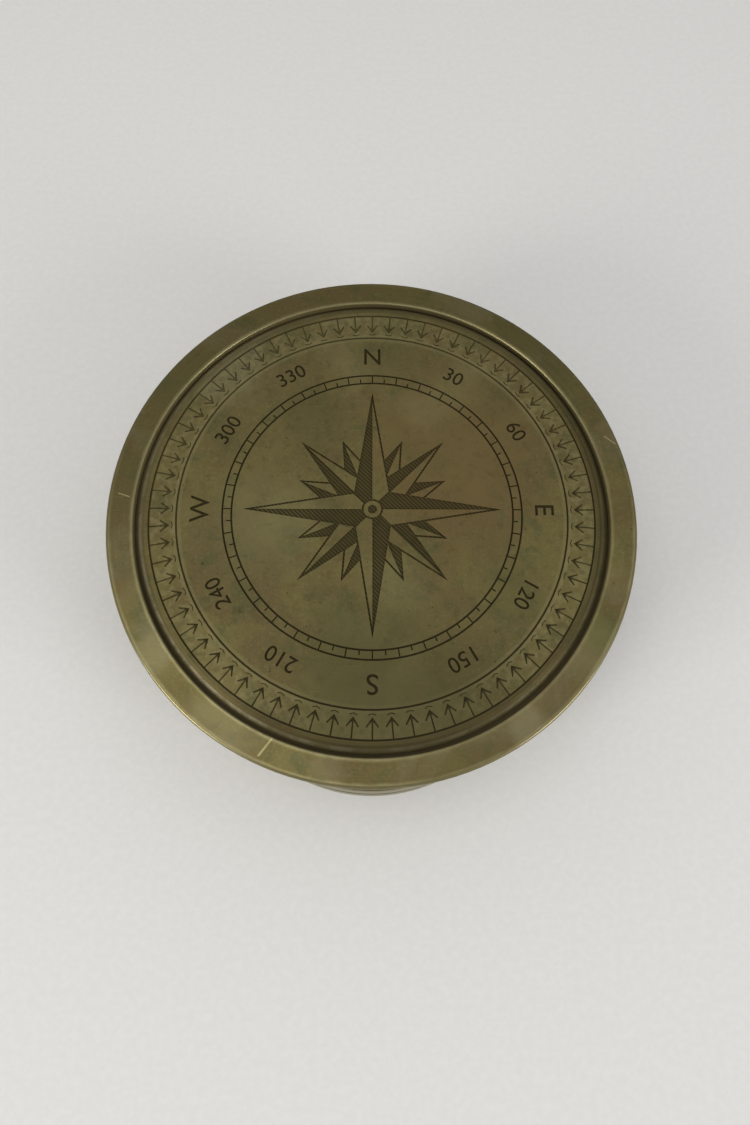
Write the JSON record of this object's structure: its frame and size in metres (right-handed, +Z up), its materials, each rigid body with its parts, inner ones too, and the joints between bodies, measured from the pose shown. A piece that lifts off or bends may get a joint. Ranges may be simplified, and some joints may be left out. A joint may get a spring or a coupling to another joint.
{
  "type": "magnetic compass",
  "caption": "Round brass pocket compass with a hinged engraved lid, a glazed dial with a swinging needle, and a needle arrest worked by the lid.",
  "frame": {"origin": "centre of the flat foot that the case stands on", "axes": "+Z up through the needle's pivot to the lid's face; -Y to the front with the thumb lips; +Y to the hinge"},
  "size_m": [0.076, 0.0796, 0.026],
  "materials": {
    "aged_brass": "aged brass with an olive brown patina",
    "engraved_brass": "aged brass plate, engraved and darkened",
    "polished_brass": "turned brass",
    "silvered_brass": "silvered brass, engraved",
    "dial_enamel": "aged ivory enamel with printed scale",
    "steel": "turned steel",
    "blued_steel": "heat-blued steel",
    "glass": "clear flat glass",
    "seal": "black seal",
    "jewel": "polished red jewel"
  },
  "bodies": {
    "case": {"case_body": "aged_brass", "case_lip": "aged_brass", "case_hinge_leaf": "aged_brass", "case_hinge_screws": "polished_brass", "hinge_pin": "steel", "dial_card": "dial_enamel", "degree_ring": "silvered_brass", "ring_screws": "steel", "glass_seal": "seal", "crystal": "glass", "spring_ring": "polished_brass", "pivot_post": "polished_brass", "pivot_point": "steel", "lever_bracket": "polished_brass", "bracket_screws": "steel", "lever_axle": "steel", "lever_spring": "steel", "spring_screw": "steel"},
    "lid": {"lid_rim": "aged_brass", "lid_plate": "engraved_brass", "lid_liner": "polished_brass", "lid_hinge_leaf": "aged_brass", "lid_hinge_screws": "polished_brass", "thumb_lip": "aged_brass"},
    "needle": {"needle": "blued_steel", "needle_cap": "polished_brass", "cap_jewel": "jewel", "balance_weight": "polished_brass"},
    "arrest_lever": {"arrest_lever": "polished_brass", "lift_collar": "polished_brass"},
    "arrest_plunger": {"arrest_plunger": "steel"}
  },
  "joints": [
    {"name": "lid_hinge", "type": "hinge", "parent": "case", "child": "lid", "pos_m": [0, 0.0395, 0.02], "axis": [-1, 0, 0], "range_deg": [0, 110]},
    {"name": "needle_spin", "type": "hinge", "parent": "case", "child": "needle", "pos_m": [0, 0, 0.0106], "axis": [0, 0, 1], "continuous": true},
    {"name": "lever_tilt", "type": "hinge", "parent": "case", "child": "arrest_lever", "pos_m": [0.02, 0, 0.0049], "axis": [0, -1, 0], "range_deg": [0, 3]},
    {"name": "plunger_slide", "type": "slide", "parent": "case", "child": "arrest_plunger", "axis": [0, 0, 1], "range_m": [0, 0.0008]}
  ],
  "couplings": [
    {"joint": "lever_tilt", "follows": "lid_hinge", "ratio": 0.02727},
    {"joint": "plunger_slide", "follows": "lid_hinge", "m_per_rad": 0.0004166}
  ]
}
